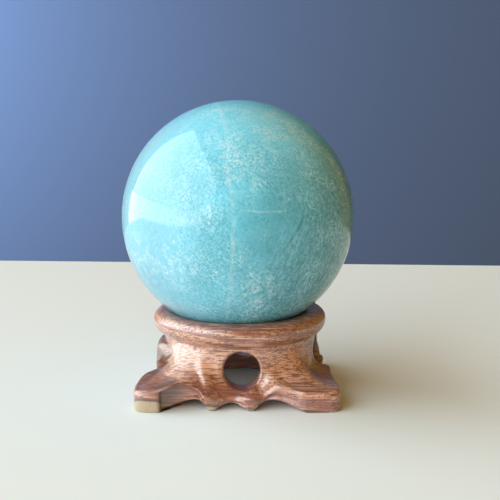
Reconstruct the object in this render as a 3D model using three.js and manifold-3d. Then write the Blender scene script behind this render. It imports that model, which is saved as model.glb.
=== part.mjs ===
import * as THREE from "three";
import { mergeVertices } from "three/addons/utils/BufferGeometryUtils.js";
import Module from "manifold-3d";

// A polished stone sphere resting in the round rim of a carved wooden stand.
// Sizes in millimetres, angles in degrees; Z is up, the table is at zero and the front faces -Y.

// Stone sphere
const SPHERE_RADIUS = 35;
const SPHERE_CENTRE_Z = 52.8;

// Rim and bore of the stand
const SEAT_GAP = 0.3;
const SEAT_EDGE_RADIUS = 20.2;
const RIM_CENTRE_RADIUS = 22.6;
const RIM_BULGE = 3.6;
const RIM_WIDEST_Z = 21.8;
const RIM_TOP_Z = 24.6;
const RIM_BOTTOM_Z = 17.6;
const OUTSIDE_SHIFT = 0.6;
const BORE_RADIUS = 17;
const BORE_FOOT_RADIUS = 18.5;
const BORE_FOOT_Z = 2;

// Holes drilled through the body from front to back and from side to side
const HOLE_RADIUS = 5.6;
const HOLE_Z = 10.5;
const FRONT_HOLE_X = 1.3;

// Carved base
const NECK_RADIUS = 22.9;
const NECK_Z = 17.2;
const BASE_HALF_WIDTH = 28;
const BASE_TAPER = 3.7;
const BASE_HALF_DEPTH = 28.6;
const BASE_FRONT_EXTRA = 1.6;
const BASE_SQUARENESS = 16;
const EDGE_ROUND = 1.6;
const UNDERCUT = 0.9;
const TOE_LIFT = 0.15;
const TOE_HALF = 1.8;
const RIDGE_WIDTH = 5;
const SWELL_AT = 17;
const SWELL_SPREAD = 14;
const FOOT_PAD = 10;
const TOE_PAD = 3;

// Hollow beside the front left foot, with a flat back wall
const HOLLOW_BACK = 25.8;
const HOLLOW_TOP_DROP = 0.9;

// The four sides, with angles counted from the middle of the side: where the corner feet end, where the toes
// stand, lean and stand proud, how far they are set in, and for the three arches between them how deep they
// are cut in, how high they rise, where they peak and how steep they are. Then the height of the ledge in the
// middle, its lifted places as angle, height and spread, how hollow the cove is, how far the neck swells
// behind the hole, and the dish round the hole.
const FRONT = {
  feet: [-36.5, 34],
  toes: [-15.8, 8],
  lean: [-0.7, 0],
  ridges: [2.2, 1.6],
  inset: 2,
  notches: [2.6, 1.6, 2],
  rises: [2.8, 1.7, 2.8],
  peaks: [0.56, 0.48, 0.54],
  powers: [1.3, 1.1, 0.9],
  ledge: 4.2,
  lifts: [[-30, 2.4, 7], [23, 2.2, 6]],
  cove: 1.5,
  swell: 0,
  dish: { depth: 0.4, width: 7.5, height: 7.5 },
};
const RIGHT = {
  feet: [-33, 35],
  toes: [-12, 13],
  lean: [0, 0],
  ridges: [0.8, 0.8],
  inset: 1.1,
  notches: [0.4, 0.4, 0.5],
  rises: [2, 1.9, 2],
  peaks: [0.5, 0.5, 0.5],
  powers: [0.8, 1, 0.8],
  ledge: 8,
  lifts: [[27, 1.6, 5]],
  cove: 1.9,
  swell: 1.7,
  dish: { depth: 0, width: 9, height: 6 },
};
const BACK = {
  feet: [-35, 33],
  toes: [-17, 1],
  lean: [0, 0],
  ridges: [1.5, 1.5],
  inset: 2.2,
  notches: [2.6, 2, 2.4],
  rises: [0.5, 0.5, 0.5],
  peaks: [0.5, 0.5, 0.5],
  powers: [0.8, 1, 0.8],
  ledge: 4.2,
  lifts: [[-27, 1.6, 5]],
  cove: 1.3,
  swell: 0,
  dish: { depth: 1, width: 8, height: 7.5 },
};
const LEFT = {
  feet: [-32, 36],
  toes: [-15, 10],
  lean: [0, 0],
  ridges: [0.8, 0.8],
  inset: 1.6,
  notches: [0.7, 0.6, 0.7],
  rises: [3, 2.6, 3],
  peaks: [0.5, 0.5, 0.5],
  powers: [0.8, 1, 0.8],
  ledge: 6,
  lifts: [[27, 1.6, 5]],
  cove: 1.1,
  swell: 0,
  dish: { depth: 2.8, width: 13, height: 4.8 },
};
const SIDES = [FRONT, RIGHT, BACK, LEFT];

// The four corner feet, from the front left one on: height of the ledge, and how hollow the cove is
const CORNERS = [
  { ledge: 6.4, cove: 0.8 },
  { ledge: 6.4, cove: 1.1 },
  { ledge: 6.4, cove: 1.3 },
  { ledge: 10, cove: 0.4 },
];

// Fineness
const TURN_STEPS = 120;
const COVE_STEPS = 8;
const RIM_STEPS = 8;

const { lerp, clamp, smoothstep, degToRad, radToDeg } = THREE.MathUtils;
const total = (values) => values.reduce((sum, value) => sum + value, 0);
const bell = (offset, spread) => Math.exp(-((offset / spread) ** 2));

// The side and the nearer corner that an angle falls on, and the angle from the middle of that side.
function sideAt(turn) {
  const degrees = (radToDeg(turn) + 405) % 360;
  const index = Math.floor(degrees / 90) % 4;
  const across = (degrees % 90) - 45;
  return { plan: SIDES[index], corner: CORNERS[across < 0 ? index : (index + 1) % 4], across };
}

// Height of an arch from 0 to 1 at a part of the way from one support to the next.
function archAt(part, peak, power) {
  const half = part < peak ? (0.5 * part) / peak : 1 - (0.5 * (1 - part)) / (1 - peak);
  return Math.max(Math.sin(Math.PI * half), 0) ** power;
}

// Edge of the base at an angle: its reach, the heights of its ledge and lower edge, its undercut and pad.
function edgeAt(turn) {
  const { plan, corner, across } = sideAt(turn);
  const power = BASE_SQUARENESS;
  const halfWidth = BASE_HALF_WIDTH + BASE_TAPER * Math.cos(turn);
  const halfDepth = BASE_HALF_DEPTH + BASE_FRONT_EXTRA * Math.cos(turn);
  const acrossPart = Math.abs(Math.sin(turn) / halfWidth) ** power;
  const alongPart = Math.abs(Math.cos(turn) / halfDepth) ** power;
  const square = 1 / (acrossPart + alongPart) ** (1 / power);
  const from = [plan.feet[0], plan.toes[0] + TOE_HALF, plan.toes[1] + TOE_HALF];
  const to = [plan.toes[0] - TOE_HALF, plan.toes[1] - TOE_HALF, plan.feet[1]];
  const parts = from.map((start, k) => clamp((across - start) / (to[k] - start), 0, 1));
  const arches = parts.map((part, k) => archAt(part, plan.peaks[k], plan.powers[k]));
  const open = total(arches);
  const between = smoothstep(parts[0], 0, 1) - smoothstep(parts[2], 0, 1);
  const cut = total(arches.map((arch, k) => plan.notches[k] * smoothstep(arch, 0, 1)));
  const lifted = total(plan.lifts.map(([at, height, spread]) => height * bell(across - at, spread)));
  return {
    reach: square - plan.inset * between - cut,
    ledge: lerp(plan.ledge, corner.ledge, smoothstep(Math.abs(across), 14, 30)) + lifted,
    low: TOE_LIFT * between + total(arches.map((arch, k) => plan.rises[k] * arch)),
    undercut: UNDERCUT * open,
    pad: lerp(FOOT_PAD, TOE_PAD, between) * (1 - open),
  };
}

// How far a point lies in the hollow beside the front left foot, from 0 outside it to 1 on its back wall.
function hollowAt(turn, z, ledge) {
  const { plan, across } = sideAt(turn);
  if (plan !== FRONT) return 0;
  const flank = -22 - 1.6 * (z - 4);
  const under = smoothstep(ledge - HOLLOW_TOP_DROP - z, 0, 0.8);
  const beside = smoothstep(across, FRONT.feet[0] - 0.9, FRONT.feet[0] + 0.1);
  return under * beside * (1 - smoothstep(across, flank - 4, flank + 1));
}

// Radius of the outside below the neck at an angle and height.
function bodyAt(turn, z, edge) {
  const { plan, corner, across } = sideAt(turn);
  const swell = plan.swell * bell(across - SWELL_AT, SWELL_SPREAD);
  const neck = NECK_RADIUS + OUTSIDE_SHIFT * Math.sin(turn) + swell;
  const depth = clamp((NECK_Z - z) / (NECK_Z - edge.ledge), 0, 1);
  const power = lerp(plan.cove, corner.cove, smoothstep(Math.abs(across), 22, 42));
  const cove = neck + (edge.reach - EDGE_ROUND - neck) * (1 - Math.sqrt(1 - depth ** 2)) ** power;
  const over = clamp((edge.ledge - z) / EDGE_ROUND, 0, 1);
  const wallTop = edge.ledge - EDGE_ROUND;
  const down = clamp((wallTop - z) / (wallTop - edge.low), 0, 1);
  const rounded = EDGE_ROUND * (1 - Math.sqrt(1 - (1 - over) ** 2));
  const wall = edge.reach - rounded - edge.undercut * Math.sin(Math.PI * down);
  const offToe = plan.toes.map((toe, k) => across - toe - plan.lean[k] * z);
  const ridges = offToe.map((offset, k) => plan.ridges[k] * bell(offset, RIDGE_WIDTH));
  const ridge = total(ridges) * smoothstep(depth, 0.3, 0.8) * (1 - over);
  const { depth: dishDepth, width, height } = plan.dish;
  const away = Math.hypot((degToRad(across) * NECK_RADIUS) / width, (z - HOLE_Z) / height);
  const body = (z >= edge.ledge ? cove : wall) + ridge - dishDepth * Math.exp(-(away ** 6));
  const back = HOLLOW_BACK / Math.cos(degToRad(across));
  return body - hollowAt(turn, z, edge.ledge) * Math.max(body - back, 0);
}

// Closed section of the stand at an angle, from the foot of the bore round the outside and back.
function sectionAt(turn) {
  const points = [];
  const add = (radius, z) => points.push(new THREE.Vector2(radius, z));
  const edge = edgeAt(turn);
  const shift = OUTSIDE_SHIFT * Math.sin(turn);
  const addBody = (z) => add(bodyAt(turn, z, edge), z);

  // Underside, flat on the pads of the feet and lower at the back
  const boreFoot = BORE_FOOT_Z * (1 - 0.85 * smoothstep(-Math.cos(turn), 0.2, 0.7));
  const footRadius = bodyAt(turn, edge.low, edge);
  const padStart = Math.max(footRadius - edge.pad, BORE_FOOT_RADIUS + 1.5);
  add(BORE_FOOT_RADIUS, Math.max(boreFoot, edge.low));
  add(padStart, edge.low);
  add(lerp(padStart, footRadius, 0.6), edge.low);
  add(footRadius, edge.low);

  // Wall of the base up to the rounded edge of the ledge
  const wallTop = edge.ledge - EDGE_ROUND;
  addBody(lerp(edge.low, wallTop, 0.5));
  addBody(wallTop);
  addBody(edge.ledge - 0.3 * EDGE_ROUND);

  // Cove from the ledge up to the neck
  for (let i = COVE_STEPS; i >= 0; i--) {
    addBody(lerp(NECK_Z, edge.ledge, Math.sin((i / COVE_STEPS) * (Math.PI / 2))));
  }

  // Rounded rim, fuller below its widest line than above
  for (let i = 1; i <= RIM_STEPS; i++) {
    const angle = lerp(-0.42 * Math.PI, 0.5 * Math.PI, i / RIM_STEPS);
    const half = angle < 0 ? RIM_WIDEST_Z - RIM_BOTTOM_Z : RIM_TOP_Z - RIM_WIDEST_Z;
    add(RIM_CENTRE_RADIUS + shift + RIM_BULGE * Math.cos(angle), RIM_WIDEST_Z + half * Math.sin(angle));
  }

  // Seat hollowed to the sphere, then the bore
  const seatZ = (radius) => SPHERE_CENTRE_Z - Math.sqrt((SPHERE_RADIUS + SEAT_GAP) ** 2 - radius ** 2);
  for (const radius of [SEAT_EDGE_RADIUS, 0.5 * (SEAT_EDGE_RADIUS + BORE_RADIUS), BORE_RADIUS]) {
    add(radius, seatZ(radius));
  }
  add(BORE_RADIUS, HOLE_Z);
  add(BORE_RADIUS, 2 * BORE_FOOT_Z + 1);
  points.push(points[0].clone());
  return points;
}

const wasm = await Module();
wasm.setup();

function toSolid(geometry) {
  const bare = geometry.clone();
  bare.deleteAttribute("normal");
  bare.deleteAttribute("uv");
  const merged = mergeVertices(bare, 1e-4);
  const vertProperties = new Float32Array(merged.attributes.position.array);
  const triVerts = new Uint32Array(merged.index.array);
  return new wasm.Manifold(new wasm.Mesh({ numProp: 3, vertProperties, triVerts }));
}

function toGeometry(solid) {
  const mesh = solid.getMesh();
  const geometry = new THREE.BufferGeometry();
  geometry.setAttribute("position", new THREE.BufferAttribute(new Float32Array(mesh.vertProperties), 3));
  geometry.setIndex(new THREE.BufferAttribute(new Uint32Array(mesh.triVerts), 1));
  geometry.computeVertexNormals();
  return geometry;
}

// The section carried round the axis, changing as it goes.
function carvedBody() {
  const count = sectionAt(0).length;
  const geometry = new THREE.LatheGeometry(sectionAt(0), TURN_STEPS);
  const position = geometry.attributes.position;
  for (let i = 0; i <= TURN_STEPS; i++) {
    const turn = ((i % TURN_STEPS) / TURN_STEPS) * 2 * Math.PI;
    sectionAt(turn).forEach((point, j) => {
      position.setXYZ(i * count + j, point.x * Math.sin(turn), -point.x * Math.cos(turn), point.y);
    });
  }
  return geometry;
}

function drill() {
  return new THREE.CylinderGeometry(HOLE_RADIUS, HOLE_RADIUS, 4 * BASE_HALF_WIDTH, 28);
}

function named(name, geometry, colour, roughness) {
  const material = new THREE.MeshStandardMaterial({ color: colour, roughness, metalness: 0 });
  const mesh = new THREE.Mesh(geometry, material);
  mesh.name = name;
  mesh.material.name = name;
  return mesh;
}

const frontToBack = toSolid(drill().translate(FRONT_HOLE_X, 0, HOLE_Z));
const sideToSide = toSolid(drill().rotateZ(Math.PI / 2).translate(0, 0, HOLE_Z));
const stand = toSolid(carvedBody()).subtract(frontToBack).subtract(sideToSide);

const sphere = new THREE.SphereGeometry(SPHERE_RADIUS, 48, 24);
sphere.rotateX(Math.PI / 2).translate(0, 0, SPHERE_CENTRE_Z);

const part = new THREE.Group();
part.name = "decorative_sphere";
part.add(named("stone_sphere", sphere, 0x68b4b6, 0.12));
part.add(named("wooden_stand", toGeometry(stand), 0x8a4f33, 0.35));

export default part;
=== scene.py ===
# %% [markdown]
# # A stone sphere on a carved wooden stand
#
# The object has two pieces: a polished blue-green stone sphere, and a small hardwood stand with a round
# rim, drilled sides and root-like feet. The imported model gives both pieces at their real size. This
# lesson dresses them: each mesh is worked out with numpy as a surface of two parameters, and each finish
# is a procedural material.

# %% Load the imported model
import math

import bmesh
import bpy
import numpy as np
from mathutils import Matrix, Vector


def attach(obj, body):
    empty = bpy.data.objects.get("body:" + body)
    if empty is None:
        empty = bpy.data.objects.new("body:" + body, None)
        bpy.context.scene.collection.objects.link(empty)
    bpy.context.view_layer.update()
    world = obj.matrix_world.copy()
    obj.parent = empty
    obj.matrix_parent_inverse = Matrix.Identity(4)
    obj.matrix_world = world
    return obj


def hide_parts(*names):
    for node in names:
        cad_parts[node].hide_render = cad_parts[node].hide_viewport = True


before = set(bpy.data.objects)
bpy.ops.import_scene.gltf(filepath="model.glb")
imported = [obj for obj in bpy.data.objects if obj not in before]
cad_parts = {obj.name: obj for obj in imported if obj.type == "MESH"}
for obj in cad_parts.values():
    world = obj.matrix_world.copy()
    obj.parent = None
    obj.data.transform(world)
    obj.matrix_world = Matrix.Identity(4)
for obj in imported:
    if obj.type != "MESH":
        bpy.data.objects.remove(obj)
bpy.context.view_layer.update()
MM = 0.001
print("nodes:", sorted(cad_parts))

# %% [markdown]
# ## Camera
#
# A long lens a little above the sphere's middle, looking slightly down. The sphere's width in the
# picture, and the way the rim opens into an ellipse, fix the distance and the height.

# %% Camera
CAMERA_PLACE = (0.0037, -0.4514, 0.12826)
CAMERA_PITCH_DEG = 10.77
CAMERA_LENS_MM = 108.96
CAMERA_SENSOR_MM = 36
CAMERA_NEAR = 0.01

scene = bpy.context.scene
camera = bpy.data.objects.new("camera", bpy.data.cameras.new("camera"))
camera.data.sensor_width = CAMERA_SENSOR_MM
camera.data.lens = CAMERA_LENS_MM
camera.data.clip_start = CAMERA_NEAR
camera.location = CAMERA_PLACE
camera.rotation_euler = (math.radians(90 - CAMERA_PITCH_DEG), 0, 0)
scene.collection.objects.link(camera)
scene.camera = camera
print("camera at", CAMERA_PLACE)

# %% [markdown]
# ## Floor and backdrop
#
# The floor is a plain pale sheet that ends a little way behind the stand, along a line that runs slightly
# askew. A plain blue-grey board stands well behind it. Both are only there for the picture and are no
# part of the object.

# %% Stage
FLOOR_HALF_WIDTH = 1.4
FLOOR_FRONT_Y = -1.4
FLOOR_BACK_Y = 0.1925
FLOOR_BACK_SLOPE = -0.052
FLOOR_COLOUR = (0.77, 0.83, 0.865)
FLOOR_ROUGHNESS = 0.6
BACKDROP_Y = 2.4
BACKDROP_LEFT, BACKDROP_RIGHT = -0.8, 1.6
BACKDROP_FOOT, BACKDROP_TOP = -0.9, 1.6
BACKDROP_COLOUR = (0.067, 0.107, 0.206)
BACKDROP_ROUGHNESS = 0.9


def plain_surface(name, corners, colour, roughness):
    """A flat four-cornered sheet with one plain colour."""
    mesh = bpy.data.meshes.new(name)
    mesh.from_pydata(corners, [], [(0, 1, 2, 3)])
    sheet = bpy.data.objects.new(name, mesh)
    scene.collection.objects.link(sheet)
    material = bpy.data.materials.new(name)
    material.use_nodes = True
    shader = material.node_tree.nodes["Principled BSDF"]
    shader.inputs["Base Color"].default_value = (*colour, 1)
    shader.inputs["Roughness"].default_value = roughness
    mesh.materials.append(material)


floor_corners = [
    (-FLOOR_HALF_WIDTH, FLOOR_FRONT_Y, 0),
    (FLOOR_HALF_WIDTH, FLOOR_FRONT_Y, 0),
    (FLOOR_HALF_WIDTH, FLOOR_BACK_Y + FLOOR_BACK_SLOPE * FLOOR_HALF_WIDTH, 0),
    (-FLOOR_HALF_WIDTH, FLOOR_BACK_Y - FLOOR_BACK_SLOPE * FLOOR_HALF_WIDTH, 0),
]
backdrop_corners = [
    (BACKDROP_LEFT, BACKDROP_Y, BACKDROP_FOOT),
    (BACKDROP_RIGHT, BACKDROP_Y, BACKDROP_FOOT),
    (BACKDROP_RIGHT, BACKDROP_Y, BACKDROP_TOP),
    (BACKDROP_LEFT, BACKDROP_Y, BACKDROP_TOP),
]
plain_surface("floor", floor_corners, FLOOR_COLOUR, FLOOR_ROUGHNESS)
plain_surface("backdrop", backdrop_corners, BACKDROP_COLOUR, BACKDROP_ROUGHNESS)
print("floor and backdrop ready")

# %% [markdown]
# ## Light
#
# One large cool panel on the left does most of the work: it is broad, so shadows are soft, and the
# polished sphere shows it as a pale patch with a clear edge. A low narrow panel below it brightens the
# left of the sphere and the wood. A third panel washes the left of the backdrop. A warm fill far off at
# the front left lifts the shadows; it is hidden from reflections, so the sphere does not show it as a
# square. Weak orange light from all round gives the shaded side its warmth.

# %% Light
PANEL_ROLL_DEG = 5
ROOM_COLOUR = (1.0, 0.53, 0.06, 1)
ROOM_STRENGTH = 0.34


def soft_panel(name, centre, towards, width, height, watts, colour, roll_deg=0.0):
    """A rectangular area light at a point, turned to face another point and rolled about its own axis."""
    light = bpy.data.lights.new(name, "AREA")
    light.shape = "RECTANGLE"
    light.size = width
    light.size_y = height
    light.energy = watts
    light.color = colour
    panel = bpy.data.objects.new(name, light)
    facing = (Vector(towards) - Vector(centre)).to_track_quat("-Z", "Y").to_matrix().to_4x4()
    roll = Matrix.Rotation(math.radians(roll_deg), 4, "Z")
    panel.matrix_world = Matrix.Translation(centre) @ facing @ roll
    scene.collection.objects.link(panel)
    return panel


soft_panel(
    "window_panel",
    centre=(-0.9, -0.6, 1.05),
    towards=(0.0, -0.6, 1.05),
    width=2.9,
    height=1.55,
    watts=46,
    colour=(0.76, 0.92, 1.0),
    roll_deg=PANEL_ROLL_DEG,
)
soft_panel(
    "low_panel",
    centre=(-0.9, -0.2, 0.085),
    towards=(0.0, -0.2, 0.085),
    width=2.1,
    height=0.29,
    watts=8.5,
    colour=(0.90, 0.97, 1.0),
    roll_deg=PANEL_ROLL_DEG,
)
soft_panel(
    "wall_wash",
    centre=(-1.1, 1.7, 0.15),
    towards=(-0.5, 2.4, -0.1),
    width=0.5,
    height=0.5,
    watts=36,
    colour=(0.72, 0.86, 1.0),
)
fill = soft_panel(
    "front_fill",
    centre=(-0.9, -2.5, 0.9),
    towards=(0.0, 0.0, 0.03),
    width=2.4,
    height=1.6,
    watts=36,
    colour=(1.0, 0.89, 0.70),
)
fill.visible_glossy = False

world = bpy.data.worlds.new("room")
world.use_nodes = True
background = world.node_tree.nodes["Background"]
background.inputs["Color"].default_value = ROOM_COLOUR
background.inputs["Strength"].default_value = ROOM_STRENGTH
scene.world = world
scene.view_settings.view_transform = "Standard"
print("lights ready")

# %% [markdown]
# ## The stone sphere
#
# The real sphere is ground and polished until it is round to a few hundredths of a millimetre. A globe of
# meridians would bunch its faces at the poles and pinch the reflections there, so the surface starts as
# the six sides of a cube: each side is a square grid of two angles, and every point is pushed out to the
# sphere's radius. The six sides share their edge points, so the skin is closed and evenly divided.

# %% Sphere mesh
SPHERE_RADIUS = 35.0
SPHERE_CENTRE_Z = 52.8
SPHERE_STEPS = 112
SAME_POINT_SCALE = 1e5


def cube_sphere(radius, centre_z, steps):
    """Six grids of two angles a and b, each point the direction (1, tan a, tan b) turned to its side and
    scaled to the radius. Returns the shared points and the quads."""
    tangent = np.tan(np.linspace(-np.pi / 4, np.pi / 4, steps + 1))
    b, a = np.meshgrid(tangent, tangent)
    ones = np.ones_like(a)
    sides = [(ones, a, b), (-ones, -a, b), (-a, ones, b), (a, -ones, b), (-b, a, ones), (b, a, -ones)]
    points = np.concatenate([np.stack(side, -1).reshape(-1, 3) for side in sides])
    points /= np.linalg.norm(points, axis=1, keepdims=True)
    corner = np.arange((steps + 1) ** 2).reshape(steps + 1, steps + 1)
    square = [corner[:-1, :-1], corner[1:, :-1], corner[1:, 1:], corner[:-1, 1:]]
    quads = np.stack(square, -1).reshape(-1, 4)
    quads = np.concatenate([quads + side * corner.size for side in range(len(sides))])
    rounded = np.round(points * SAME_POINT_SCALE).astype(int)
    _, first, shared = np.unique(rounded, axis=0, return_index=True, return_inverse=True)
    points = points[first] * radius + np.array([0, 0, centre_z])
    return points, shared.reshape(-1)[quads]


def piece_from_arrays(name, points_mm, quads, node):
    """A smooth-shaded mesh object from arrays in millimetres, facing outwards, riding on the body and
    standing for a node."""
    mesh = bpy.data.meshes.new(name)
    mesh.from_pydata((points_mm * MM).tolist(), [], quads.tolist())
    skin = bmesh.new()
    skin.from_mesh(mesh)
    bmesh.ops.recalc_face_normals(skin, faces=skin.faces)
    open_edges = sum(not edge.is_manifold for edge in skin.edges)
    skin.to_mesh(mesh)
    skin.free()
    mesh.polygons.foreach_set("use_smooth", np.ones(len(mesh.polygons), bool))
    piece = bpy.data.objects.new(name, mesh)
    scene.collection.objects.link(piece)
    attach(piece, "root")
    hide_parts(node)
    print(name, len(mesh.polygons), "faces,", open_edges, "open edges")
    return piece


sphere_points, sphere_quads = cube_sphere(SPHERE_RADIUS, SPHERE_CENTRE_Z, SPHERE_STEPS)
sphere = piece_from_arrays("polished_sphere", sphere_points, sphere_quads, "stone_sphere")

# %% [markdown]
# ## Plan of the stand's base
#
# The stand is one block of wood. Its base is a rounded square whose corners are feet. Between the feet
# each side has two small toes, like roots, with arches cut between them. Everything that changes round
# the base is worked out here from the angle alone: how far the edge reaches, how high the ledge above it
# lies, and how far the lower edge is lifted off the table. The four sides have their own numbers, because
# the carver worked by eye.

# %% Base edge
BASE_HALF_WIDTH = 28.0
BASE_TAPER = 3.7
BASE_HALF_DEPTH = 28.6
BASE_FRONT_EXTRA = 1.6
BASE_SQUARENESS = 16
UNDERCUT = 0.9
TOE_HALF = 1.8
TOE_LIFT = 0.15
FOOT_PAD = 10.0
TOE_PAD = 3.0
FOOT_LEDGE_FROM_DEG = 14
FOOT_LEDGE_FULL_DEG = 30

# corners: front left, front right, back right, back left
LEDGE_FOOT_Z = np.array([6.4, 6.4, 6.4, 10.0])

# front, right, back, left; angles in degrees from the middle of the side, and three arches to a side
SIDES = 4
FEET = np.array([[-36.5, 34], [-33, 35], [-35, 33], [-32, 36]], float)
TOES = np.array([[-15.8, 8], [-12, 13], [-17, 1], [-15, 10]], float)
TOE_INSET = np.array([2.0, 1.1, 2.2, 1.6])
NOTCHES = np.array([[2.6, 1.6, 2.0], [0.4, 0.4, 0.5], [2.6, 2.0, 2.4], [0.7, 0.6, 0.7]])
ARCH_RISE = np.array([[2.8, 1.7, 2.8], [2.0, 1.9, 2.0], [0.5, 0.5, 0.5], [3.0, 2.6, 3.0]])
ARCH_PEAK = np.array([[0.56, 0.48, 0.54], [0.5, 0.5, 0.5], [0.5, 0.5, 0.5], [0.5, 0.5, 0.5]])
ARCH_POWER = np.array([[1.3, 1.1, 0.9], [0.8, 1.0, 0.8], [0.8, 1.0, 0.8], [0.8, 1.0, 0.8]])
LEDGE_MIDDLE_Z = np.array([4.2, 8.0, 4.2, 6.0])
LEDGE_LIFT = np.array([[2.4, 2.2], [0.0, 1.6], [1.6, 0.0], [0.0, 1.6]])
LEDGE_LIFT_AT = np.array([[-30, 23], [-27, 27], [-27, 27], [-27, 27]], float)
LEDGE_LIFT_SPREAD = np.array([[7, 6], [5, 5], [5, 5], [5, 5]], float)


def smooth_ramp(x, low, high):
    """0 below low, 1 above high, and an even S-shaped rise between."""
    t = np.clip((x - low) / (high - low), 0, 1)
    return t * t * (3 - 2 * t)


def side_of(turn):
    """The side (0 to 3) that an angle falls on, and the angle in degrees from the middle of that side."""
    degrees = (np.degrees(turn) + 405) % 360
    return (degrees // 90).astype(int) % SIDES, degrees % 90 - 45


def at_corner(values, side, across):
    """The value of the corner that is nearer: the side's own to the left of its middle, the next to the
    right."""
    return np.where(across < 0, values[side], values[(side + 1) % SIDES])


def of_arches(values, side):
    """The three arches' values at every angle, with the arches on the first axis."""
    return np.moveaxis(values[side], -1, 0)


def base_edge(turn):
    """Reach, ledge height, lower edge, undercut and pad depth of the base, as functions of the angle. The
    reach is a superellipse less the toes' inset and the arches; each arch is a skewed half sine between
    two supports; the ledge goes from its height in the middle to that of the feet, with bell-shaped lifts
    added."""
    side, across = side_of(turn)
    power = BASE_SQUARENESS
    wide = np.abs(np.sin(turn) / (BASE_HALF_WIDTH + BASE_TAPER * np.cos(turn))) ** power
    deep = np.abs(np.cos(turn) / (BASE_HALF_DEPTH + BASE_FRONT_EXTRA * np.cos(turn))) ** power
    square = (wide + deep) ** (-1 / power)
    start = np.stack([FEET[side, 0], TOES[side, 0] + TOE_HALF, TOES[side, 1] + TOE_HALF])
    end = np.stack([TOES[side, 0] - TOE_HALF, TOES[side, 1] - TOE_HALF, FEET[side, 1]])
    part = np.clip((across - start) / (end - start), 0, 1)
    peak = of_arches(ARCH_PEAK, side)
    half_turn = np.where(part < peak, 0.5 * part / peak, 1 - 0.5 * (1 - part) / (1 - peak))
    arch = np.sin(np.pi * half_turn).clip(0) ** of_arches(ARCH_POWER, side)
    between = smooth_ramp(part[0], 0, 1) - smooth_ramp(part[2], 0, 1)
    open_share = arch.sum(0)
    cut = (of_arches(NOTCHES, side) * smooth_ramp(arch, 0, 1)).sum(0)
    off_lift = (across[..., None] - LEDGE_LIFT_AT[side]) / LEDGE_LIFT_SPREAD[side]
    lifted = (LEDGE_LIFT[side] * np.exp(-(off_lift**2))).sum(-1)
    foot_share = smooth_ramp(np.abs(across), FOOT_LEDGE_FROM_DEG, FOOT_LEDGE_FULL_DEG)
    foot_ledge = at_corner(LEDGE_FOOT_Z, side, across)
    return {
        "reach": square - TOE_INSET[side] * between - cut,
        "ledge": LEDGE_MIDDLE_Z[side] * (1 - foot_share) + foot_ledge * foot_share + lifted,
        "low": TOE_LIFT * between + (of_arches(ARCH_RISE, side) * arch).sum(0),
        "undercut": UNDERCUT * open_share,
        "pad": (FOOT_PAD - (FOOT_PAD - TOE_PAD) * between) * (1 - open_share),
    }


print("front edge reaches", round(float(base_edge(np.zeros(1))["reach"][0]), 2), "mm")

# %% [markdown]
# ## Surface of the body
#
# From the neck down, the carver hollowed a cove that sweeps out to the ledge of each foot, rounded the
# ledge over, and cut the wall below it. At one angle that is a quarter of an ellipse, then a quarter of a
# circle, then a shallow hollow. On the right the neck swells a little behind the hole, and beside the
# front left foot the wall is cut back to a flat recess. Written as one formula for the radius at any
# angle and height, it can be asked for any point, which the drilled holes need later.

# %% Body radius
NECK_RADIUS = 22.9
NECK_Z = 17.2
OUTSIDE_SHIFT = 0.6
EDGE_ROUND = 1.6
HOLE_Z = 10.5
COVE_CORNER_FROM_DEG = 22
COVE_CORNER_FULL_DEG = 42

# corners: front left, front right, back right, back left
COVE_CORNER = np.array([0.8, 1.1, 1.3, 0.4])

# front, right, back, left
COVE_MIDDLE = np.array([1.5, 1.9, 1.3, 1.1])
NECK_SWELL = np.array([0.0, 1.7, 0.0, 0.0])
NECK_SWELL_AT = 17.0
NECK_SWELL_SPREAD = 14.0
TOE_RIDGE = np.array([[2.2, 1.6], [0.8, 0.8], [1.5, 1.5], [0.8, 0.8]])
TOE_LEAN = np.array([[-0.7, 0.0], [0.0, 0.0], [0.0, 0.0], [0.0, 0.0]])
RIDGE_WIDTH = 5.0
RIDGE_FROM_DEPTH = 0.3
RIDGE_FULL_DEPTH = 0.8
DISH_DEPTH = np.array([0.4, 0.0, 1.0, 2.8])
DISH_WIDTH = np.array([7.5, 9.0, 8.0, 13.0])
DISH_HEIGHT = np.array([7.5, 6.0, 7.5, 4.8])
DISH_STEEPNESS = 6

# waves round the stand, their slant in radians for each millimetre of height, and their phase
RIPPLE_WAVES = [(9, 0.5, 0.0), (14, -0.8, 1.3)]
RIPPLE = 0.10
RIPPLE_FULL_DEPTH = 0.2

# hollow beside the front left foot
RECESS_PLANE = 25.8
RECESS_TOP_DROP = 0.9
RECESS_TOP_FADE = 0.8
RECESS_STEP_BEFORE_DEG = 0.9
RECESS_STEP_AFTER_DEG = 0.1
RECESS_FLANK_DEG = -22
RECESS_FLANK_Z = 4
RECESS_FLANK_LEAN = 1.6
RECESS_FLANK_BEFORE_DEG = 4
RECESS_FLANK_AFTER_DEG = 1
RECESS_SLIDE_DEG = 4.5
RECESS_SLIDE_END_DEG = -25


def recess(turn, z, ledge):
    """Share of the hollow beside the front left foot, 0 outside it and 1 on its back wall, and the angle
    in degrees by which its left end slides behind the foot, so that the step there runs straight back."""
    side, across = side_of(turn)
    step_end = FEET[0, 0] + RECESS_STEP_AFTER_DEG
    flank = RECESS_FLANK_DEG - RECESS_FLANK_LEAN * (z - RECESS_FLANK_Z)
    below = smooth_ramp(ledge - RECESS_TOP_DROP - z, 0, RECESS_TOP_FADE) * (side == 0)
    inside = smooth_ramp(across, FEET[0, 0] - RECESS_STEP_BEFORE_DEG, step_end)
    beyond = smooth_ramp(across, flank - RECESS_FLANK_BEFORE_DEG, flank + RECESS_FLANK_AFTER_DEG)
    share = below * inside * (1 - beyond)
    return share, RECESS_SLIDE_DEG * (1 - smooth_ramp(across, step_end, RECESS_SLIDE_END_DEG)) * share


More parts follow.
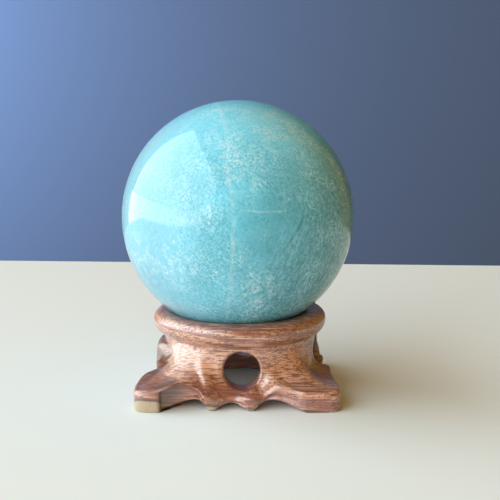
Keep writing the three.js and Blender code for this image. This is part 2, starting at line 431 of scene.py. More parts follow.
def body_radius(turn, z):
    """Radius of the outside at an angle and height: neck and its bell-shaped swell, a quarter-ellipse
    cove raised to a power down to the ledge, a quarter circle over the ledge's edge, and a wall with a
    half-sine undercut; ridges are added above the toes, a dish is taken out round each hole, faint waves
    stand for the knife, and the recess is cut back to its plane."""
    edge = base_edge(turn)
    side, across = side_of(turn)
    swell = NECK_SWELL[side] * np.exp(-(((across - NECK_SWELL_AT) / NECK_SWELL_SPREAD) ** 2))
    neck = NECK_RADIUS + OUTSIDE_SHIFT * np.sin(turn) + swell
    depth = np.clip((NECK_Z - z) / (NECK_Z - edge["ledge"]), 0, 1)
    corner_share = smooth_ramp(np.abs(across), COVE_CORNER_FROM_DEG, COVE_CORNER_FULL_DEG)
    power = COVE_MIDDLE[side] * (1 - corner_share) + at_corner(COVE_CORNER, side, across) * corner_share
    cove = neck + (edge["reach"] - EDGE_ROUND - neck) * (1 - np.sqrt(1 - depth**2)) ** power
    over = np.clip((edge["ledge"] - z) / EDGE_ROUND, 0, 1)
    wall_top = edge["ledge"] - EDGE_ROUND
    down = np.clip((wall_top - z) / (wall_top - edge["low"]), 0, 1)
    wall = edge["reach"] - EDGE_ROUND * (1 - np.sqrt(1 - (1 - over) ** 2))
    wall = wall - edge["undercut"] * np.sin(np.pi * down)
    off_toe = (across[..., None] - TOES[side] - TOE_LEAN[side] * z[..., None]) / RIDGE_WIDTH
    ridge = (TOE_RIDGE[side] * np.exp(-(off_toe**2))).sum(-1)
    ridge = ridge * smooth_ramp(depth, RIDGE_FROM_DEPTH, RIDGE_FULL_DEPTH) * (1 - over)
    away = np.hypot(np.radians(across) * NECK_RADIUS / DISH_WIDTH[side], (z - HOLE_Z) / DISH_HEIGHT[side])
    dish = DISH_DEPTH[side] * np.exp(-(away**DISH_STEEPNESS))
    waves = sum(np.sin(number * turn + slant * z + phase) for number, slant, phase in RIPPLE_WAVES)
    ripple = RIPPLE * waves * smooth_ramp(depth, 0, RIPPLE_FULL_DEPTH)
    body = np.where(z >= edge["ledge"], cove, wall) + ridge - dish + ripple
    hollow, slide = recess(turn, z, edge["ledge"])
    back_wall = RECESS_PLANE / np.cos(np.radians(across - slide))
    return body - hollow * np.maximum(body - back_wall, 0)


print("front of the neck:", round(float(body_radius(np.zeros(1), np.full(1, NECK_Z))[0]), 2), "mm")

# %% [markdown]
# ## Closed section carried round the axis
#
# Cut the stand through its axis and the section is one closed loop: over the rim, down the body, under
# the sole, up the bore and over the seat. Carried round the axis it makes a grid that closes on itself
# both ways, like the skin of a ring. The body comes first: its rows follow the cove, the ledge's edge and
# the wall, each in even steps.

# %% Body rows
TURN_STEPS = 560
COVE_ROWS = 54
EDGE_ROWS = 8
WALL_ROWS = 14
SOLE_ROUND = 0.5
QUARTER = np.pi / 2

turn_of_column = np.arange(TURN_STEPS) / TURN_STEPS * 2 * np.pi
edge_of_column = base_edge(turn_of_column)


def body_heights():
    """Heights of the body's rows in every column: even steps of the cove's quarter turn, of the ledge's
    quarter turn, then of the wall down to the rounded sole."""
    ledge, low = edge_of_column["ledge"], edge_of_column["low"]
    cove_turn = np.linspace(0, QUARTER, COVE_ROWS + 1)[:, None]
    cove = NECK_Z - (NECK_Z - ledge) * np.sin(cove_turn)
    edge_turn = np.linspace(0, QUARTER, EDGE_ROWS + 1)[1:, None]
    over = ledge - EDGE_ROUND * (1 - np.cos(edge_turn))
    down = np.linspace(0, 1, WALL_ROWS + 1)[1:, None]
    top = ledge - EDGE_ROUND
    wall = top + (low + SOLE_ROUND - top) * down
    return np.concatenate([cove, over, wall])


body_z = body_heights()
BODY_ROWS = len(body_z)
body_turn = np.broadcast_to(turn_of_column, body_z.shape).copy()
print("body rows:", BODY_ROWS)

# %% [markdown]
# ## Room for the drilled holes
#
# Cutting holes with a Boolean leaves thin, crooked faces round their lips, and this wood is glossy, so
# every crooked face would show. Instead the grid itself is slid along the surface: a square of cells is
# opened into a circle, and the rows and columns round it relax back to their own places over the next few
# millimetres. The cells inside the circle are left out later, when the faces are made.

# %% Hole windows
HOLE_RADIUS = 5.6
HOLE_ACROSS = np.array([1.3, 0.0, -1.3, 0.0])
WINDOW_CELLS = 14
WINDOW_COLUMNS = 46
TINY = 1e-9


def window_columns(side):
    """Numbers of the grid columns in a side's window, and their angles from the middle of the side."""
    steps = np.arange(-WINDOW_COLUMNS, WINDOW_COLUMNS + 1)
    return (steps + side * TURN_STEPS // SIDES) % TURN_STEPS, steps / TURN_STEPS * 2 * np.pi


def stretch(steps, limit):
    """Signed steps from a window's middle as square coordinates: 1 at the hole's square, 2 at the
    limit."""
    beyond = (np.abs(steps) - WINDOW_CELLS) / (limit - WINDOW_CELLS)
    return np.sign(steps) * np.where(np.abs(steps) <= WINDOW_CELLS, np.abs(steps) / WINDOW_CELLS, 1 + beyond)


def window_squares(rows_up, rows_down):
    """Square coordinates of a window's nodes across and up: 1 on the square that becomes the circle, 2 on
    the window's outer border, linear between."""
    du = np.arange(-WINDOW_COLUMNS, WINDOW_COLUMNS + 1)[None, :]
    dv = np.arange(rows_up, -rows_down - 1, -1)[:, None]
    su = stretch(du, WINDOW_COLUMNS) + 0 * dv
    sv = np.where(dv >= 0, stretch(dv, rows_up), stretch(dv, rows_down)) + 0 * du
    return su, sv


def open_circle(su, sv, across, up):
    """Slides a window's nodes: on the inner square they land on the hole's circle, on the outer border
    they stay, and between the two they pass through a family of growing ellipses blended into the plain
    grid."""
    reach = np.maximum(np.maximum(np.abs(su), np.abs(sv)), TINY)
    a, b = su / reach, sv / reach
    steep = np.abs(b) > np.abs(a)
    steep_angle = np.sign(b) * np.pi / 2 - np.pi / 4 * a / np.where(steep, b, 1)
    flat_angle = np.pi / 4 * b / np.where(steep, 1, a) + np.pi * (a < 0)
    angle = np.where(steep, steep_angle, flat_angle)
    out = np.clip(reach - 1, 0, 1)
    mix = smooth_ramp(out, 0, 1)
    width = np.abs(across[:, [0, -1]]).min()
    height = np.where(sv >= 0, np.abs(up[0]).min(), np.abs(up[-1]).min())
    round_across = HOLE_RADIUS * np.cos(angle) * (1 + out * (width / HOLE_RADIUS - 1))
    round_up = HOLE_RADIUS * np.sin(angle) * (1 + out * (height / HOLE_RADIUS - 1))
    return round_across * (1 - mix) + across * mix, round_up * (1 - mix) + up * mix, mix


print("window of", 2 * WINDOW_CELLS, "cells a side")

# %% [markdown]
# ## Lips of the holes
#
# A drilled hole that has been sanded and waxed has a soft lip, wider on the left of each hole here. The
# lip is a quarter circle: just outside the hole's circle the surface falls away from the body's own
# radius. The angle of a point depends on the radius there, which depends on the angle, so a few passes
# settle the two.

# %% Windows in the body
LIP_ROUND = 1.05
LIP_LEAN = 0.6
SETTLING_PASSES = 3

lip_drop = np.zeros_like(body_z)
body_hole_row = int(np.argmin(np.abs(body_z[:, 0] - HOLE_Z)))
su, sv = window_squares(body_hole_row, BODY_ROWS - 1 - body_hole_row)
for side in range(SIDES):
    columns, turned = window_columns(side)
    middle = side * QUARTER
    across = NECK_RADIUS * np.sin(turned)[None, :] - HOLE_ACROSS[side] + 0 * body_z[:, columns]
    across, up, mix = open_circle(su, sv, across, body_z[:, columns] - HOLE_Z)
    z = HOLE_Z + up
    angle = np.arcsin((across + HOLE_ACROSS[side]) / NECK_RADIUS)
    for _ in range(SETTLING_PASSES):
        radius = body_radius(middle + angle, z)
        angle = np.arcsin((across + HOLE_ACROSS[side]) / (radius + (NECK_RADIUS - radius) * mix))
    from_centre = np.hypot(across, up)
    lip = LIP_ROUND - LIP_LEAN * across / np.maximum(from_centre, TINY)
    fall = np.clip(HOLE_RADIUS + lip - from_centre, 0, lip)
    body_turn[:, columns] = middle + angle
    body_z[:, columns] = z
    lip_drop[:, columns] = lip - np.sqrt(lip**2 - fall**2)

body_r = body_radius(body_turn, body_z) - lip_drop
_, slide_deg = recess(body_turn, body_z, base_edge(body_turn)["ledge"])
body_turn -= np.radians(slide_deg)
print("hole windows opened round row", body_hole_row)

# %% [markdown]
# ## Rim and seat
#
# The rim was turned on a lathe: outside it is an ellipse that is fuller below than above, and inside its
# crest rolls over to the seat. The seat is a shallow hollow that follows the stone with a hair of
# clearance, so that the sphere lies in it by its own weight.

# %% Rim and seat rows
RIM_CENTRE_RADIUS = 22.6
RIM_BULGE = 3.6
RIM_WIDEST_Z = 21.8
RIM_TOP_Z = 24.6
RIM_BOTTOM_Z = 17.6
RIM_END_TURN = -0.46 * np.pi
RIM_ROWS = 30
CREST_ROWS = 8
SEAT_GAP = 0.3
SEAT_EDGE_RADIUS = 20.2
SEAT_ROWS = 6
BORE_RADIUS = 17.0


def seat_height(radius):
    """Height of the hollowed seat: a sphere a little larger than the stone, about the same centre."""
    return SPHERE_CENTRE_Z - np.sqrt((SPHERE_RADIUS + SEAT_GAP) ** 2 - radius**2)


shift = OUTSIDE_SHIFT * np.sin(turn_of_column)
rim_angle = np.linspace(QUARTER, RIM_END_TURN, RIM_ROWS)[:, None]
rim_half = np.where(rim_angle < 0, RIM_WIDEST_Z - RIM_BOTTOM_Z, RIM_TOP_Z - RIM_WIDEST_Z)
rim_r = RIM_CENTRE_RADIUS + shift + RIM_BULGE * np.cos(rim_angle)
rim_z = RIM_WIDEST_Z + rim_half * np.sin(rim_angle) + 0 * shift

crest_angle = np.linspace(np.pi, QUARTER, CREST_ROWS + 1)[:-1, None]
crest_width = RIM_CENTRE_RADIUS - SEAT_EDGE_RADIUS
crest_foot = seat_height(SEAT_EDGE_RADIUS)
crest_r = RIM_CENTRE_RADIUS + shift * np.sin(crest_angle) + crest_width * np.cos(crest_angle)
crest_z = crest_foot + (RIM_TOP_Z - crest_foot) * np.sin(crest_angle) + 0 * shift

seat_r = np.linspace(BORE_RADIUS, SEAT_EDGE_RADIUS, SEAT_ROWS + 1)[:-1, None] + 0 * shift
seat_z = seat_height(seat_r)
print("seat edge at", round(float(crest_foot), 2), "mm")

# %% [markdown]
# ## Sole and bore
#
# The edge of the sole is a small quarter round. Behind it the underside lies flat on feet and toes and
# then rises to the bore, except at the back, where it stays low. The bore is a plain turned hole, a
# little wider at its foot. It gets the same windows as the body, so that each drilled hole can join them.

# %% Sole and bore rows
SOLE_ROWS = 5
UNDER_ROWS = 8
BORE_ROWS = 40
BORE_TOP_Z = 21.0
BORE_FOOT_RADIUS = 18.5
BORE_FOOT_Z = 2.0
BORE_FLARE_TOP_Z = 5.0
PAD_CLEARANCE = 1.5
BACK_DROP = 0.85
BACK_FROM, BACK_FULL = 0.2, 0.7

low, reach, pad = edge_of_column["low"], edge_of_column["reach"], edge_of_column["pad"]
sole_angle = np.linspace(0, QUARTER, SOLE_ROWS + 1)[1:, None]
sole_r = body_r[-1] - SOLE_ROUND * (1 - np.cos(sole_angle))
sole_z = low + SOLE_ROUND * (1 - np.sin(sole_angle))

inward = np.linspace(0, 1, UNDER_ROWS + 1)[1:, None]
under_r = sole_r[-1] + (BORE_FOOT_RADIUS - sole_r[-1]) * inward
pad_end = np.maximum(reach - pad, BORE_FOOT_RADIUS + PAD_CLEARANCE)
rise = np.clip((pad_end - under_r) / (pad_end - BORE_FOOT_RADIUS), 0, 1)
bore_foot = BORE_FOOT_Z * (1 - BACK_DROP * smooth_ramp(-np.cos(turn_of_column), BACK_FROM, BACK_FULL))
under_z = low + (np.maximum(bore_foot, low) - low) * rise

upward = np.linspace(0, 1, BORE_ROWS + 1)[1:, None]
bore_z = under_z[-1] + (BORE_TOP_Z - under_z[-1]) * upward
bore_turn = np.broadcast_to(turn_of_column, bore_z.shape).copy()
bore_hole_row = int(np.argmin(np.abs(bore_z[:, 0] - HOLE_Z)))
su, sv = window_squares(BORE_ROWS - 1 - bore_hole_row, bore_hole_row)
for side in range(SIDES):
    columns, turned = window_columns(side)
    across = BORE_RADIUS * np.sin(turned)[None, :] - HOLE_ACROSS[side] + 0 * bore_z[:, columns]
    across, up, _ = open_circle(su, sv, across, bore_z[::-1][:, columns] - HOLE_Z)
    angle = side * QUARTER + np.arcsin((across + HOLE_ACROSS[side]) / BORE_RADIUS)
    bore_turn[:, columns] = angle[::-1]
    bore_z[:, columns] = (HOLE_Z + up)[::-1]
flare = 1 - smooth_ramp(bore_z, BORE_FOOT_Z, BORE_FLARE_TOP_Z)
bore_r = BORE_RADIUS + (BORE_FOOT_RADIUS - BORE_RADIUS) * flare
print("bore windows opened round row", bore_hole_row)

# %% [markdown]
# ## The whole loop
#
# The stretches are laid end to end, each as radius, height and angle. Where the body slid sideways for
# the recess, the sole slides with it, and the underside takes the slide back by the time it meets the
# bore.

# %% Whole loop
def plain_turn(rows):
    """The columns' own angles, repeated for every row of a stretch."""
    return np.broadcast_to(turn_of_column, rows.shape)


slid = (body_turn[-1] - turn_of_column + np.pi) % (2 * np.pi) - np.pi
stretches = [
    (crest_r, crest_z, plain_turn(crest_r)),
    (rim_r, rim_z, plain_turn(rim_r)),
    (body_r, body_z, body_turn),
    (sole_r, sole_z, body_turn[-1] + 0 * sole_r),
    (under_r, under_z, turn_of_column + slid * (1 - inward)),
    (bore_r, bore_z, bore_turn),
    (seat_r, seat_z, plain_turn(seat_r)),
]
loop_r, loop_z, loop_turn = (np.concatenate(rows) for rows in zip(*stretches))
loop_points = np.stack([loop_r * np.sin(loop_turn), -loop_r * np.cos(loop_turn), loop_z], -1)
LOOP_ROWS = len(loop_r)
body_start = CREST_ROWS + RIM_ROWS
bore_start = body_start + BODY_ROWS + SOLE_ROWS + UNDER_ROWS
print("loop rows:", LOOP_ROWS)

# %% [markdown]
# ## Skin and tunnels
#
# Neighbouring grid points make the faces. The windows stay open, and each pair of windows, one outside
# and one in the bore, is joined by a tunnel: straight lines from every point of the outer circle to its
# partner on the inner one.

# %% Stand mesh
TUNNEL_STEPS = 8


def square_walk(cells):
    """Column and height steps of the nodes round a square of cells, in order, each node once."""
    run = np.arange(-cells, cells)
    side = np.full_like(run, cells)
    return np.concatenate([run, side, -run, -side]), np.concatenate([-side, run, side, -run])


index = np.arange(LOOP_ROWS * TURN_STEPS).reshape(LOOP_ROWS, TURN_STEPS)
next_row, next_column = np.roll(index, -1, 0), np.roll(index, -1, 1)
quads = np.stack([index, next_row, np.roll(next_row, -1, 1), next_column], -1)
kept = np.ones(index.shape, bool)
walk_across, walk_up = square_walk(WINDOW_CELLS)
flat_points = loop_points.reshape(-1, 3)
points, faces = [flat_points], []
count = index.size
for side in range(SIDES):
    middle = side * TURN_STEPS // SIDES
    cells = (np.arange(-WINDOW_CELLS, WINDOW_CELLS) + middle) % TURN_STEPS
    for centre in (body_start + body_hole_row, bore_start + bore_hole_row):
        kept[centre - WINDOW_CELLS : centre + WINDOW_CELLS, cells] = False
    columns = (walk_across + middle) % TURN_STEPS
    outer = index[body_start + body_hole_row - walk_up, columns]
    inner = index[bore_start + bore_hole_row + walk_up, columns]
    share = np.linspace(0, 1, TUNNEL_STEPS + 1)[1:-1, None, None]
    between = flat_points[outer] * (1 - share) + flat_points[inner] * share
    made = count + np.arange(between[..., 0].size).reshape(between.shape[:2])
    rings = np.concatenate([outer[None], made, inner[None]])
    after = np.roll(rings, -1, 1)
    points.append(between.reshape(-1, 3))
    faces.append(np.stack([rings[:-1], rings[1:], after[1:], after[:-1]], -1).reshape(-1, 4))
    count += made.size
stand_points = np.concatenate(points)
stand_quads = np.concatenate([quads[kept], *faces])
stand = piece_from_arrays("carved_stand", stand_points, stand_quads, "wooden_stand")

# %% [markdown]
# ## Building materials from nodes
#
# A procedural material is a small graph: coordinates go in, noise and arithmetic make masks, and the
# masks mix colours. The helpers below add a node or two each and return an output, so that a material
# reads like a sum. Coordinates come from the object itself and are scaled to millimetres, so the pattern
# runs through the solid, as it does in stone and wood.

# %% Node helpers
def add(tree, kind, inputs, output=0, **options):
    """Adds a node, sets its options, links or fills its inputs, and returns one of its outputs."""
    made = tree.nodes.new(kind)
    for name, value in options.items():
        setattr(made, name, value)
    for key, value in inputs.items():
        if isinstance(value, bpy.types.NodeSocket):
            tree.links.new(value, made.inputs[key])
        else:
            made.inputs[key].default_value = value
    return made.outputs[output]


def maths(tree, operation, a, b=0.0):
    """One arithmetic step."""
    return add(tree, "ShaderNodeMath", {0: a, 1: b}, operation=operation)


def times(tree, a, b):
    """The product of two values."""
    return maths(tree, "MULTIPLY", a, b)


def along(tree, place, direction):
    """How far a place lies along a direction, in millimetres where the direction has length 1."""
    inputs = {0: place, 1: direction}
    return add(tree, "ShaderNodeVectorMath", inputs, output="Value", operation="DOT_PRODUCT")


def distance_from(tree, place, centre):
    """How far a place is from a centre, in millimetres."""
    return add(tree, "ShaderNodeVectorMath", {0: place, 1: centre}, output="Value", operation="DISTANCE")


def ramp(tree, value, low, high, bottom=0.0, top=1.0):
    """An S-shaped rise from bottom to top as the value goes from low to high."""
    inputs = {"Value": value, "From Min": low, "From Max": high, "To Min": bottom, "To Max": top}
    return add(tree, "ShaderNodeMapRange", inputs, interpolation_type="SMOOTHSTEP")


def blend(tree, share, first, second):
    """The first colour where the share is 0, the second where it is 1."""
    return add(tree, "ShaderNodeMix", {0: share, 6: first, 7: second}, output=2, data_type="RGBA")


def stretched(tree, place, size, turn_deg=(0, 0, 0)):
    """Coordinates in which a lump of the given size in millimetres, turned by the given angles, is 1
    across."""
    turn = [math.radians(angle) for angle in turn_deg]
    inputs = {"Vector": place, "Rotation": turn, "Scale": size}
    return add(tree, "ShaderNodeMapping", inputs, vector_type="TEXTURE")


def grains(tree, place, size, turn_deg=(0, 0, 0), detail=2.0, roughness=0.5):
    """Noise whose lumps have the given sizes in millimetres along three axes, turned by the given
    angles."""
    spot = stretched(tree, place, size, turn_deg)
    inputs = {"Vector": spot, "Scale": 1, "Detail": detail, "Roughness": roughness}
    return add(tree, "ShaderNodeTexNoise", inputs)


def new_material(name):
    """A new node material, with its node tree, its shader and its coordinates in millimetres."""
    material = bpy.data.materials.new(name)
    material.use_nodes = True
    tree = material.node_tree
    spot = add(tree, "ShaderNodeTexCoord", {}, output="Object")
    place = add(tree, "ShaderNodeMapping", {"Vector": spot, "Scale": (1 / MM, 1 / MM, 1 / MM)})
    return material, tree, tree.nodes["Principled BSDF"], place


def new_group(name, inputs, outputs):
    """An empty node group with named inputs and outputs; returns it with its input and output sockets."""
    group = bpy.data.node_groups.new(name, "ShaderNodeTree")
    for direction, sockets in (("INPUT", inputs), ("OUTPUT", outputs)):
        for socket_name, kind in sockets:
            group.interface.new_socket(socket_name, in_out=direction, socket_type="NodeSocket" + kind)
    return group, group.nodes.new("NodeGroupInput").outputs, group.nodes.new("NodeGroupOutput").inputs


def use_group(tree, group, inputs, output):
    """Places a node group in a tree, links or fills its inputs, and returns one of its outputs."""
    return add(tree, "ShaderNodeGroup", inputs, output=output, node_tree=group)


print("node helpers ready")

# %% [markdown]
# ## Rubbed polish
#
# No polished surface is equally smooth all over. Handling and the polishing wheel leave areas that are a
# little duller than others. Both pieces use this, so it is a node group: it puts out a roughness that
# drifts between two values.

# %% Rubbed polish
polish, given, result = new_group(
    "rubbed_polish", [("Place", "Vector"), ("Smooth", "Float"), ("Dull", "Float")], [("Roughness", "Float")]
)
wide = grains(polish, given["Place"], (14, 14, 14), detail=3)
fine = grains(polish, given["Place"], (1.2, 1.2, 1.2), detail=2)
mixed = maths(polish, "ADD", times(polish, wide, 0.75), times(polish, fine, 0.25))
span = maths(polish, "SUBTRACT", given["Dull"], given["Smooth"])
rise = times(polish, ramp(polish, mixed, 0.35, 0.65), span)
polish.links.new(maths(polish, "ADD", given["Smooth"], rise), result["Roughness"])
print("group:", polish.name)

# %% [markdown]
# ## Veins in the stone
#
# A healed crack in stone is close to flat, so on the polished surface it shows as a thin line where a
# plane meets the sphere. One node group makes them all: the distance from a plane, bent a little by
# noise, is turned into a thin line, which fades away at a given distance from its middle and is broken up
# by finer noise.

# %% Vein group
vein, given, result = new_group(
    "flat_vein",
    [
        ("Place", "Vector"),
        ("Centre", "Vector"),
        ("Facing", "Vector"),
        ("Width", "Float"),
        ("Reach", "Float"),
    ],
    [("Mask", "Float")],
)
offset = add(vein, "ShaderNodeVectorMath", {0: given["Place"], 1: given["Centre"]}, operation="SUBTRACT")
height = along(vein, offset, given["Facing"])
wander = times(vein, maths(vein, "SUBTRACT", grains(vein, given["Place"], (8, 8, 8)), 0.5), 2.0)
near = maths(vein, "ABSOLUTE", maths(vein, "ADD", height, wander))
near = maths(vein, "DIVIDE", near, given["Width"])
away = add(vein, "ShaderNodeVectorMath", {0: offset}, output="Value", operation="LENGTH")
fade = ramp(vein, maths(vein, "DIVIDE", away, given["Reach"]), 0.6, 1.0, 1.0, 0.0)
broken = ramp(vein, grains(vein, given["Place"], (1.6, 1.6, 2.4)), 0.36, 0.56, 0.25, 1.0)
line = times(vein, ramp(vein, near, 0.3, 1.0, 1.0, 0.0), times(vein, fade, broken))
vein.links.new(line, result["Mask"])
print("group:", vein.name)

# %% [markdown]
# ## The stone's ground
#
# The stone is a blue-green feldspar. Close up it is a felt of short pale strokes, which lie in two
# crossing directions, over a deeper teal. Strokes are noise with stretched lumps; larger noise decides
# how strongly they show. Painted shade deepens the teal towards the lower right, away from the light, a
# painted bluish light from above makes the crown a clearer blue, and round one place on the front there
# are fewer strokes.

# %% Stone ground
DEEP_TEAL = (0.05, 0.25, 0.325, 1)
TEAL = (0.12, 0.53, 0.74, 1)
SKYLIGHT_BLUE = (0.17, 0.66, 0.92, 1)
PALE_AQUA = (0.36, 0.70, 0.83, 1)
STROKE_SIZE = (0.36, 0.5, 1.3)
STROKE_TURNS_DEG = [(0, 34, 0), (0, -48, 0)]
CLOUD_SIZE = (8, 8, 9)
DRIFT_SIZE = (16, 16, 20)
CLEAR_CENTRE = (9.0, -32.0, 54.0)
SHADE_WAY = (0.85, 0.0, -0.6)
UP = (0, 0, 1)

stone, tree, shader, place = new_material("polished_stone")
first, second = (
    grains(tree, place, STROKE_SIZE, turn, detail=3, roughness=0.6) for turn in STROKE_TURNS_DEG
)
strokes = maths(tree, "MAXIMUM", first, second)
pits = ramp(tree, maths(tree, "MINIMUM", first, second), 0.30, 0.42, 0.65, 0.0)
clouds = ramp(tree, grains(tree, place, CLOUD_SIZE, detail=4, roughness=0.6), 0.42, 0.66)
flecks = times(tree, ramp(tree, strokes, 0.44, 0.70), ramp(tree, clouds, 0, 1, 0.5, 1.0))
flecks = times(tree, flecks, ramp(tree, distance_from(tree, place, CLEAR_CENTRE), 5, 18, 0.3, 1.0))
# Painted shade: the teal is deepened towards the lower right, away from the light, on top of its random
# drift.
toward_shade = along(tree, place, SHADE_WAY)
drift_and_shade = ramp(tree, grains(tree, place, DRIFT_SIZE, detail=3), 0.35, 0.68, 0.45, 1.0)
drift_and_shade = times(tree, drift_and_shade, ramp(tree, toward_shade, -36, -4, 1.0, 0.05))
# Painted light: the crown is tinted a clearer blue, standing in for bluish light from above.
painted_top_light = ramp(tree, along(tree, place, UP), 62, 86, 0.0, 0.5)
colour = blend(tree, drift_and_shade, DEEP_TEAL, TEAL)
colour = blend(tree, pits, colour, DEEP_TEAL)
colour = blend(tree, painted_top_light, colour, SKYLIGHT_BLUE)
colour = blend(tree, flecks, colour, PALE_AQUA)
print("stone ground nodes:", len(tree.nodes))

# %% [markdown]
# ## Clouds and painted reflection
#
# On the shaded side the strokes are coarser, light and dark. A painted reflection lays a grey-blue haze
# over the left side, which makes it less blue. In six places the strokes gather in whitish clouds: each is
# a soft ball of milk colour, broken up by tufts and strokes so that it has no outline. Small milky spots
# are strewn where the larger noise is strong.

# %% Stone clouds
DARK_TEAL = (0.03, 0.15, 0.19, 1)
REFLECTION_GREY = (0.195, 0.38, 0.475, 1)
MILK = (0.64, 0.77, 0.80, 1)
FELT_SIZE = (0.8, 0.8, 2.6)
TUFT_SIZE = (2.2, 2.2, 3.0)
SPOT_SIZE = (1.4, 1.4, 1.8)
RIGHTWARDS = (1, 0, 0)
MILKY_CLOUDS = [
    ((-0.2, -29.6, 71.5), 11),
    ((13.2, -15.6, 81.2), 13),
    ((-16.8, -29.0, 42.7), 14),
    ((-27.5, -19.0, 43.0), 13),
    ((6.0, -30.1, 35.9), 10),
    ((-4.3, -21.8, 79.9), 9),
]

felt = grains(tree, place, FELT_SIZE, (0, 24, 0), detail=3)
shaded = ramp(tree, toward_shade, -32, -10)
light_felt = times(tree, ramp(tree, felt, 0.52, 0.66, 0.0, 0.28), shaded)
dark_felt = times(tree, ramp(tree, felt, 0.34, 0.48, 0.35, 0.0), shaded)
# Painted reflection: a grey-blue haze over the left side of the sphere.
painted_reflection = ramp(tree, along(tree, place, RIGHTWARDS), -26, -4, 0.65, 0.0)
colour = blend(tree, light_felt, colour, PALE_AQUA)
colour = blend(tree, dark_felt, colour, DARK_TEAL)
colour = blend(tree, painted_reflection, colour, REFLECTION_GREY)
tufts = ramp(tree, grains(tree, place, TUFT_SIZE, (0, 30, 0), detail=3), 0.42, 0.62)
tufted = times(tree, tufts, ramp(tree, strokes, 0.42, 0.62))
for centre, reach in MILKY_CLOUDS:
    ball = ramp(tree, distance_from(tree, place, centre), 0, reach, 0.42, 0.0)
    colour = blend(tree, times(tree, ball, tufted), colour, MILK)
spots = ramp(tree, grains(tree, place, SPOT_SIZE, detail=3), 0.62, 0.74)
colour = blend(tree, times(tree, spots, ramp(tree, clouds, 0, 1, 0, 0.6)), colour, MILK)
print("stone cloud nodes:", len(tree.nodes))

# %% [markdown]
# ## Veins and polish
#
# A long pale vein crosses the front from top to bottom, a short one lies level to the right of it, and a
# short dark fissure stands slanting farther right. The sphere is ground fine and polished, so its
# roughness is low, and the refractive index is that of feldspar.

# %% Stone veins and polish
FISSURE_TEAL = (0.05, 0.20, 0.20, 1)
STONE_POLISH = (0.05, 0.10)
STONE_IOR = 1.53

# centre, facing, width and reach of each vein, then how strongly it shows and its colour
VEINS = [
    ((-4.66, -12.9, 83.0), (0.988, 0.155, 0.0), 0.9, 70, 0.20, MILK),
    ((8, -34, 59.7), (0.0, 0.1, 0.995), 0.4, 7, 0.3, MILK),
    ((16.3, -31.0, 52.9), (0.85, 0.0, -0.52), 0.45, 7, 0.75, FISSURE_TEAL),
]


def polish_into(tree, shader, place, smooth, dull):
    """Feeds the rubbed polish into a material's roughness."""
    rough = use_group(tree, polish, {"Place": place, "Smooth": smooth, "Dull": dull}, "Roughness")
    tree.links.new(rough, shader.inputs["Roughness"])


for centre, facing, width, reach, strength, vein_colour in VEINS:
    inputs = {"Place": place, "Centre": centre, "Facing": facing, "Width": width, "Reach": reach}
    mask = use_group(tree, vein, inputs, "Mask")
    colour = blend(tree, times(tree, mask, strength), colour, vein_colour)
tree.links.new(colour, shader.inputs["Base Color"])
polish_into(tree, shader, place, *STONE_POLISH)
shader.inputs["IOR"].default_value = STONE_IOR
sphere.data.materials.append(stone)
print("stone nodes:", len(tree.nodes))

# %% [markdown]
# ## The wood's layers
#
# The block was sawn with its fibres lying from side to side. Growth layers are nearly level and dip a
# little to the right; they change the colour in bands, and one layer through the body is paler than the
# rest. Fibres are noise with long thin lumps, and a second such noise gives the dark streaks.

# %% Wood layers
TAN = (0.60, 0.325, 0.225, 1)
RED_BROWN = (0.27, 0.085, 0.055, 1)
STREAK = (0.13, 0.028, 0.02, 1)
LAYER_DIP = (0.11, 0.04, 1.0)
WAVE_SIZE = (22, 9, 9)
WAVE_HEIGHT = 3.0
FIBRE_SIZE = (9, 0.5, 0.35)
STREAK_SIZE = (13, 0.8, 0.36)

wood, tree, shader, place = new_material("waxed_wood")
wave = maths(tree, "SUBTRACT", grains(tree, place, WAVE_SIZE, detail=2), 0.5)
level = maths(tree, "ADD", along(tree, place, LAYER_DIP), times(tree, wave, WAVE_HEIGHT))
bands = add(tree, "ShaderNodeTexNoise", {"W": level, "Scale": 0.75, "Detail": 3}, noise_dimensions="1D")
fibres = grains(tree, place, FIBRE_SIZE, detail=3, roughness=0.6)
pale_layer = maths(tree, "SUBTRACT", ramp(tree, level, 4, 9), ramp(tree, level, 15.5, 20, 0.0, 0.7))
tone = maths(tree, "ADD", times(tree, bands, 0.7), fibres)
tone = maths(tree, "ADD", tone, times(tree, pale_layer, 0.27))
streaks = ramp(tree, grains(tree, place, STREAK_SIZE, detail=3), 0.47, 0.60, 0.0, 0.8)
colour = blend(tree, ramp(tree, tone, 0.79, 1.13), RED_BROWN, TAN)
colour = blend(tree, streaks, colour, STREAK)
print("wood layer nodes:", len(tree.nodes))

# %% [markdown]
# ## Sapwood and painted shade
#
# At the lower left a pale layer of sapwood meets the heartwood along a dark line. Painted shade darkens
# the hollow beside the front left foot, and the two ends of the block behind the front feet and below
# the rim.

# %% Sapwood and ends
DARK_BROWN = (0.055, 0.016, 0.011, 1)
SAPWOOD = (0.38, 0.29, 0.18, 1)
SAP_DIP = (0.075, 0.42, 1.0)
SAP_LEVEL = -10.9
RECESS_SHADE_CENTRE = (-20.0, -26.5, 6.0)

sap_edge = maths(tree, "ADD", along(tree, place, SAP_DIP), wave)
sap_edge = maths(tree, "SUBTRACT", sap_edge, SAP_LEVEL)
seam = maths(tree, "ABSOLUTE", maths(tree, "SUBTRACT", sap_edge, 0.25))
# Painted shade: darker brown in the hollow beside the front left foot.
recess_shade = ramp(tree, distance_from(tree, place, RECESS_SHADE_CENTRE), 1.5, 6.5, 0.65, 0.0)
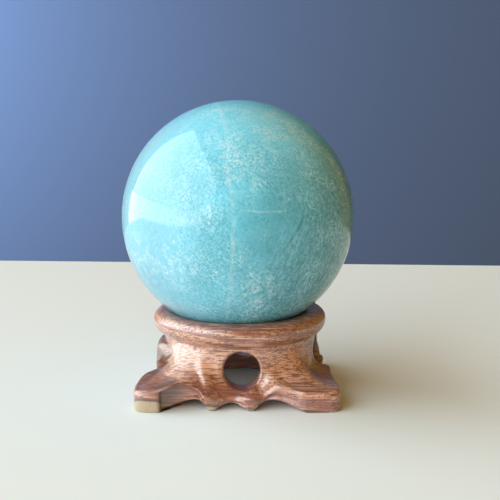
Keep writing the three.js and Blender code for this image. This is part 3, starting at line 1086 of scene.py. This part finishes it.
# Painted shade: the two ends of the block, behind the front feet and below the rim, are darkened.
sideways = maths(tree, "ABSOLUTE", along(tree, place, RIGHTWARDS))
shaded_ends = times(tree, ramp(tree, sideways, 19, 24), ramp(tree, along(tree, place, (0, 1, 0)), -22, -14))
shaded_ends = times(tree, shaded_ends, ramp(tree, along(tree, place, UP), 16, 18, 0.6, 0.0))
colour = blend(tree, ramp(tree, sap_edge, -0.35, 0.2, 1.0, 0.0), colour, SAPWOOD)
colour = blend(tree, ramp(tree, seam, 0.1, 0.6, 0.75, 0.0), colour, DARK_BROWN)
colour = blend(tree, recess_shade, colour, DARK_BROWN)
colour = blend(tree, shaded_ends, colour, DARK_BROWN)
print("wood nodes so far:", len(tree.nodes))

# %% [markdown]
# ## Pores and wax
#
# Pores are fine tubes along the fibres: on the front and on the rim they show as dashes, and on the two
# ends as dots. A Voronoi texture puts at most one pore in each long thin cell, and a share that grows
# upwards and to the right says how many cells have one. Wax covers the wood as a clear coat; it is thin
# in the pores, and a slight bump sinks them.

# %% Wood pores and wax
PORE_CELLS = [(1.8, 0.6, 0.45), (0.9, 0.55, 0.42)]
PORE_DARKNESS = 0.75
POROUS_WAY = (0.05, 0.0, 0.09)
POROUS_SIZE = (18, 6, 3.5)
WOOD_POLISH = (0.30, 0.44)
COAT_IN_PORES = 0.3
COAT_ROUGHNESS = 0.33
COAT_IOR = 2.0
BUMP_STRENGTH = 0.35
BUMP_HEIGHT = 0.15 * MM


def pore_spots(size, share):
    """One small egg-shaped pore in each cell of the given size in millimetres; the share of cells that
    have one."""
    spot = stretched(tree, place, size)
    distance = add(tree, "ShaderNodeTexVoronoi", {"Vector": spot, "Scale": 1}, output="Distance")
    chance = add(tree, "ShaderNodeSeparateColor", {0: distance.node.outputs["Color"]})
    return times(tree, ramp(tree, distance, 0.16, 0.34, 1.0, 0.0), maths(tree, "LESS_THAN", chance, share))


patches = times(tree, grains(tree, place, POROUS_SIZE), 1.4)
porous = ramp(tree, maths(tree, "ADD", along(tree, place, POROUS_WAY), patches), 1.1, 2.2, 0.06, 0.55)
pores = maths(tree, "MAXIMUM", *(pore_spots(size, porous) for size in PORE_CELLS))
colour = blend(tree, times(tree, pores, PORE_DARKNESS), colour, DARK_BROWN)
relief = maths(tree, "SUBTRACT", times(tree, fibres, 0.3), pores)
bump = {"Height": relief, "Strength": BUMP_STRENGTH, "Distance": BUMP_HEIGHT}
dents = add(tree, "ShaderNodeBump", bump, output="Normal")
tree.links.new(colour, shader.inputs["Base Color"])
polish_into(tree, shader, place, *WOOD_POLISH)
tree.links.new(ramp(tree, pores, 0.0, 1.0, 1.0, COAT_IN_PORES), shader.inputs["Coat Weight"])
shader.inputs["Coat Roughness"].default_value = COAT_ROUGHNESS
shader.inputs["Coat IOR"].default_value = COAT_IOR
tree.links.new(dents, shader.inputs["Normal"])
tree.links.new(dents, shader.inputs["Coat Normal"])
stand.data.materials.append(wood)
print("wood nodes:", len(tree.nodes))
